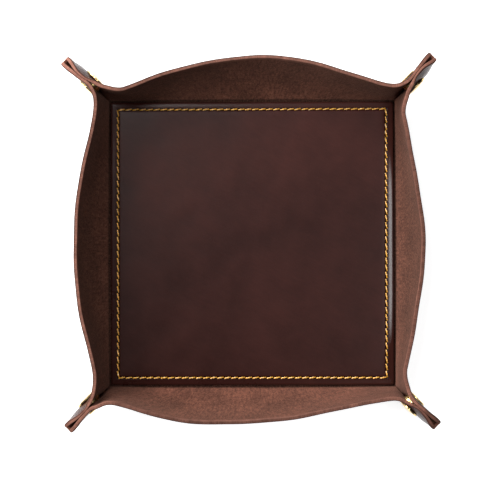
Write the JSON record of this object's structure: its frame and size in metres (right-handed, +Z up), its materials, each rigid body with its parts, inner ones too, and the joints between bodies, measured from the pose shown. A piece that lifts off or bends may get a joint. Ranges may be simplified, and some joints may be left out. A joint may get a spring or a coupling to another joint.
{
  "type": "valet tray",
  "caption": "Square leather valet tray: one sheet folded up into bowed walls, corners pinched into ears held by brass snaps, with a stitched liner panel; unsnaps to lie open.",
  "frame": {"origin": "centre of the flat underside of the base", "axes": "+Z up out of the tray, +Y towards the back wall (top of the picture), +X to the right"},
  "size_m": [0.1964, 0.1965, 0.034],
  "materials": {
    "sheet_leather": "dark brown leather, raw napped flesh side inside, smooth outside",
    "liner_leather": "smooth dark brown leather with a soft gloss",
    "thread": "waxed golden yellow twisted thread",
    "snap_brass": "polished brass with slight wear",
    "spring_bronze": "drawn bronze wire"
  },
  "bodies": {
    "base": {"base_sheet": "sheet_leather", "liner_panel": "liner_leather", "needle_thread": "thread", "bobbin_thread": "thread"},
    "back_side": {"back_wall": "sheet_leather"},
    "right_side": {"right_wall": "sheet_leather"},
    "front_side": {"front_wall": "sheet_leather"},
    "left_side": {"left_wall": "sheet_leather"},
    "back_right_cap_ear": {"back_right_cap_flap": "sheet_leather", "back_right_snap_cap": "snap_brass", "back_right_snap_socket": "snap_brass", "back_right_snap_spring": "spring_bronze"},
    "back_right_stud_ear": {"back_right_stud_flap": "sheet_leather", "back_right_snap_stud": "snap_brass", "back_right_snap_eyelet": "snap_brass"},
    "front_right_cap_ear": {"front_right_cap_flap": "sheet_leather", "front_right_snap_cap": "snap_brass", "front_right_snap_socket": "snap_brass", "front_right_snap_spring": "spring_bronze"},
    "front_right_stud_ear": {"front_right_stud_flap": "sheet_leather", "front_right_snap_stud": "snap_brass", "front_right_snap_eyelet": "snap_brass"},
    "front_left_cap_ear": {"front_left_cap_flap": "sheet_leather", "front_left_snap_cap": "snap_brass", "front_left_snap_socket": "snap_brass", "front_left_snap_spring": "spring_bronze"},
    "front_left_stud_ear": {"front_left_stud_flap": "sheet_leather", "front_left_snap_stud": "snap_brass", "front_left_snap_eyelet": "snap_brass"},
    "back_left_cap_ear": {"back_left_cap_flap": "sheet_leather", "back_left_snap_cap": "snap_brass", "back_left_snap_socket": "snap_brass", "back_left_snap_spring": "spring_bronze"},
    "back_left_stud_ear": {"back_left_stud_flap": "sheet_leather", "back_left_snap_stud": "snap_brass", "back_left_snap_eyelet": "snap_brass"}
  },
  "joints": [
    {"name": "back_wall_fold", "type": "hinge", "parent": "base", "child": "back_side", "pos_m": [0, 0.077, 0.0022], "axis": [-1, 0, 0], "range_deg": [0, 48]},
    {"name": "right_wall_fold", "type": "hinge", "parent": "base", "child": "right_side", "pos_m": [0.077, 0, 0.0022], "axis": [0, 1, 0], "range_deg": [0, 48]},
    {"name": "front_wall_fold", "type": "hinge", "parent": "base", "child": "front_side", "pos_m": [0, -0.077, 0.0022], "axis": [1, 0, 0], "range_deg": [0, 48]},
    {"name": "left_wall_fold", "type": "hinge", "parent": "base", "child": "left_side", "pos_m": [-0.077, 0, 0.0022], "axis": [0, -1, 0], "range_deg": [0, 48]},
    {"name": "back_right_cap_ear_fold", "type": "hinge", "parent": "right_side", "child": "back_right_cap_ear", "pos_m": [0.077, 0.077, 0.0022], "axis": [0.0782, 0.0782, 0.9939], "range_deg": [0, 24]},
    {"name": "back_right_stud_ear_fold", "type": "hinge", "parent": "back_side", "child": "back_right_stud_ear", "pos_m": [0.077, 0.077, 0.0022], "axis": [-0.0782, -0.0782, -0.9939], "range_deg": [0, 24]},
    {"name": "front_right_cap_ear_fold", "type": "hinge", "parent": "front_side", "child": "front_right_cap_ear", "pos_m": [0.077, -0.077, 0.0022], "axis": [0.0782, -0.0782, 0.9939], "range_deg": [0, 24]},
    {"name": "front_right_stud_ear_fold", "type": "hinge", "parent": "right_side", "child": "front_right_stud_ear", "pos_m": [0.077, -0.077, 0.0022], "axis": [-0.0782, 0.0782, -0.9939], "range_deg": [0, 24]},
    {"name": "front_left_cap_ear_fold", "type": "hinge", "parent": "left_side", "child": "front_left_cap_ear", "pos_m": [-0.077, -0.077, 0.0022], "axis": [-0.0782, -0.0782, 0.9939], "range_deg": [0, 24]},
    {"name": "front_left_stud_ear_fold", "type": "hinge", "parent": "front_side", "child": "front_left_stud_ear", "pos_m": [-0.077, -0.077, 0.0022], "axis": [0.0782, 0.0782, -0.9939], "range_deg": [0, 24]},
    {"name": "back_left_cap_ear_fold", "type": "hinge", "parent": "back_side", "child": "back_left_cap_ear", "pos_m": [-0.077, 0.077, 0.0022], "axis": [-0.0782, 0.0782, 0.9939], "range_deg": [0, 24]},
    {"name": "back_left_stud_ear_fold", "type": "hinge", "parent": "left_side", "child": "back_left_stud_ear", "pos_m": [-0.077, 0.077, 0.0022], "axis": [0.0782, -0.0782, -0.9939], "range_deg": [0, 24]}
  ],
  "couplings": [
    {"joint": "right_wall_fold", "follows": "back_wall_fold", "ratio": 1},
    {"joint": "front_wall_fold", "follows": "back_wall_fold", "ratio": 1},
    {"joint": "left_wall_fold", "follows": "back_wall_fold", "ratio": 1},
    {"joint": "back_right_cap_ear_fold", "follows": "back_wall_fold", "ratio": 0.5},
    {"joint": "back_right_stud_ear_fold", "follows": "back_wall_fold", "ratio": 0.5},
    {"joint": "front_right_cap_ear_fold", "follows": "back_wall_fold", "ratio": 0.5},
    {"joint": "front_right_stud_ear_fold", "follows": "back_wall_fold", "ratio": 0.5},
    {"joint": "front_left_cap_ear_fold", "follows": "back_wall_fold", "ratio": 0.5},
    {"joint": "front_left_stud_ear_fold", "follows": "back_wall_fold", "ratio": 0.5},
    {"joint": "back_left_cap_ear_fold", "follows": "back_wall_fold", "ratio": 0.5},
    {"joint": "back_left_stud_ear_fold", "follows": "back_wall_fold", "ratio": 0.5}
  ]
}
